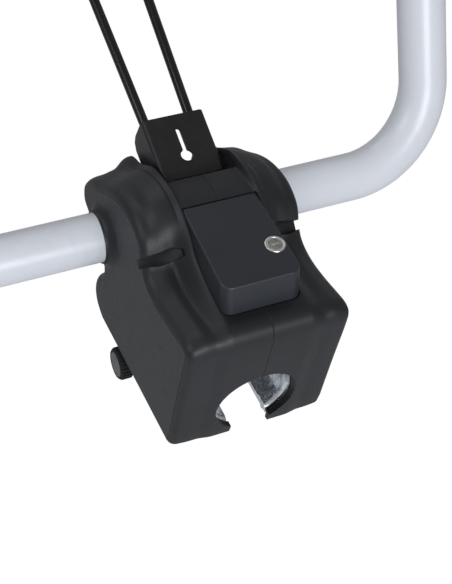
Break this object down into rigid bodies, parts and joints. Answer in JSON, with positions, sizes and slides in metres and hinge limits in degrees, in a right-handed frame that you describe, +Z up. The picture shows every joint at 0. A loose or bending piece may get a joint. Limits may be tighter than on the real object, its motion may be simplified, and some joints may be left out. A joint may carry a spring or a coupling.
{
  "type": "rear bike carrier",
  "caption": "Bike carrier for a tow ball: moulded coupling head with clamping lever and lock, bent tube mast, and two folding arms with strapped cradles.",
  "frame": {"origin": "centre of the tow ball that the jaws close on", "axes": "+X along the cross tube, +Y away from the car, +Z up"},
  "size_m": [0.435, 1.0555, 0.9839],
  "materials": {
    "housing_plastic": "satin",
    "cover_plastic": "matt",
    "zinc_steel": "bright",
    "black_steel": "satin",
    "silver_paint": "gloss",
    "lock_metal": "polished",
    "black_rubber": "matt"
  },
  "bodies": {
    "head": {"housing_left": "housing_plastic", "housing_right": "housing_plastic", "housing_screws": "zinc_steel", "lock_cover": "cover_plastic", "lock_bezel": "lock_metal", "clamp_frame": "zinc_steel", "ball_socket": "zinc_steel", "jaw_pins": "zinc_steel", "lever_pin": "zinc_steel", "adjuster_nut": "zinc_steel", "tube_bush_left": "black_rubber", "tube_bush_right": "black_rubber", "frame_tube": "silver_paint", "mast_caps": "black_rubber", "cross_bar": "silver_paint", "arm_hinge_left": "black_steel", "arm_hinge_right": "black_steel", "arm_nuts": "zinc_steel"},
    "lever": {"lever_bracket": "black_steel", "lever_bail": "black_steel", "lever_grip": "black_rubber", "link_pin": "zinc_steel"},
    "draw_bar": {"draw_bar": "zinc_steel"},
    "jaw_left": {"jaw_left": "zinc_steel"},
    "jaw_right": {"jaw_right": "zinc_steel"},
    "lock_barrel": {"lock_barrel": "lock_metal"},
    "lock_bolt": {"lock_bolt": "zinc_steel"},
    "adjuster": {"adjuster_bolt": "zinc_steel", "adjuster_knob": "black_rubber"},
    "arm_left": {"arm_left": "silver_paint", "arm_cap_left": "black_rubber", "cradles_left": "housing_plastic", "straps_left": "black_rubber"},
    "arm_right": {"arm_right": "silver_paint", "arm_cap_right": "black_rubber", "cradles_right": "housing_plastic", "straps_right": "black_rubber"},
    "arm_clamp_left": {"arm_pin_left": "zinc_steel", "arm_knob_left": "black_rubber"},
    "arm_clamp_right": {"arm_pin_right": "zinc_steel", "arm_knob_right": "black_rubber"}
  },
  "joints": [
    {"name": "lever_swing", "type": "hinge", "parent": "head", "child": "lever", "pos_m": [0, 0.089, 0.078], "axis": [1, 0, 0], "range_deg": [0, 44]},
    {"name": "draw_bar_slide", "type": "slide", "parent": "head", "child": "draw_bar", "axis": [0, 1, 0], "range_m": [0, 0.00714]},
    {"name": "jaw_left_swing", "type": "hinge", "parent": "head", "child": "jaw_left", "pos_m": [-0.027, 0, 0.043], "axis": [0, 1, 0], "range_deg": [0, 7.05]},
    {"name": "jaw_right_swing", "type": "hinge", "parent": "head", "child": "jaw_right", "pos_m": [0.027, 0, 0.043], "axis": [0, -1, 0], "range_deg": [0, 7.05]},
    {"name": "lock_turn", "type": "hinge", "parent": "head", "child": "lock_barrel", "pos_m": [0.019, -0.0007, 0.10812], "axis": [0, 0.0523, -0.9986], "range_deg": [0, 90]},
    {"name": "lock_bolt_slide", "type": "slide", "parent": "head", "child": "lock_bolt", "axis": [0, 1, 0], "range_m": [0, 0.01]},
    {"name": "adjuster_turn", "type": "hinge", "parent": "head", "child": "adjuster", "pos_m": [0, 0.059, -0.049], "axis": [1, 0, 0], "continuous": true},
    {"name": "arm_left_fold", "type": "hinge", "parent": "head", "child": "arm_left", "pos_m": [-0.145, 0.48543, 0.79064], "axis": [-1, 0, 0], "range_deg": [0, 120]},
    {"name": "arm_right_fold", "type": "hinge", "parent": "head", "child": "arm_right", "pos_m": [0.145, 0.48543, 0.79064], "axis": [-1, 0, 0], "range_deg": [0, 120]},
    {"name": "arm_knob_left_turn", "type": "hinge", "parent": "head", "child": "arm_clamp_left", "pos_m": [-0.145, 0.48543, 0.79064], "axis": [1, 0, 0], "continuous": true},
    {"name": "arm_knob_right_turn", "type": "hinge", "parent": "head", "child": "arm_clamp_right", "pos_m": [0.145, 0.48543, 0.79064], "axis": [1, 0, 0], "continuous": true}
  ],
  "couplings": [
    {"joint": "draw_bar_slide", "follows": "lever_swing", "m_per_rad": 0.009268},
    {"joint": "jaw_left_swing", "follows": "lever_swing", "ratio": 0.15909},
    {"joint": "jaw_right_swing", "follows": "lever_swing", "ratio": 0.15909},
    {"joint": "lock_turn", "follows": "lock_bolt_slide", "rad_per_m": 157}
  ]
}
